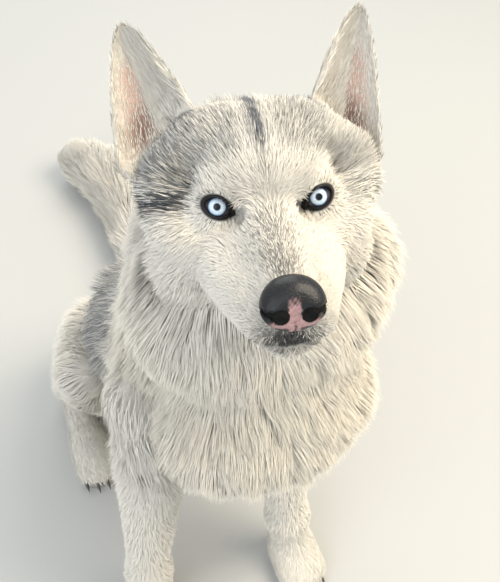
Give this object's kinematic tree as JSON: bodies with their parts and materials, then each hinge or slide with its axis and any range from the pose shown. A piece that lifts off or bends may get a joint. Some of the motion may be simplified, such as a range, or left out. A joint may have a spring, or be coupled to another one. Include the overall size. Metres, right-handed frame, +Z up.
{
  "type": "sitting husky dog model",
  "caption": "Life-size still model of a thick-coated northern sled dog, sitting with its head raised and its tail laid out behind.",
  "frame": {"origin": "on the floor, under the middle of the dog's box", "axes": "+Z up; the dog faces -Y and its tail points to +Y, the longest side; its left is +X, along the shortest side"},
  "size_m": [0.3356, 0.957, 0.7613],
  "materials": {
    "coat_white": "dense cream-white dog coat",
    "coat_silver": "silver-white dog coat",
    "coat_grey": "grizzled grey dog coat",
    "nose_leather": "moist pebbled nose skin, black and pink",
    "eye": "wet and clear over an ice-blue iris",
    "claw_horn": "dark smooth horn"
  },
  "bodies": {
    "root": {"head": "coat_white", "nose": "nose_leather", "eye_left": "eye", "eye_right": "eye", "ear_left": "coat_white", "ear_right": "coat_white", "neck": "coat_white", "chest": "coat_white", "torso": "coat_grey", "tail": "coat_white", "hindleg_left": "coat_silver", "hindleg_right": "coat_silver", "foreleg_left": "coat_white", "foreleg_right": "coat_white", "hindfoot_left": "coat_white", "hindfoot_right": "coat_white", "claw_fore_left_1": "claw_horn", "claw_fore_left_2": "claw_horn", "claw_fore_left_3": "claw_horn", "claw_fore_left_4": "claw_horn", "claw_fore_right_1": "claw_horn", "claw_fore_right_2": "claw_horn", "claw_fore_right_3": "claw_horn", "claw_fore_right_4": "claw_horn", "claw_hind_left_1": "claw_horn", "claw_hind_left_2": "claw_horn", "claw_hind_left_3": "claw_horn", "claw_hind_left_4": "claw_horn", "claw_hind_right_1": "claw_horn", "claw_hind_right_2": "claw_horn", "claw_hind_right_3": "claw_horn", "claw_hind_right_4": "claw_horn"}
  },
  "joints": []
}
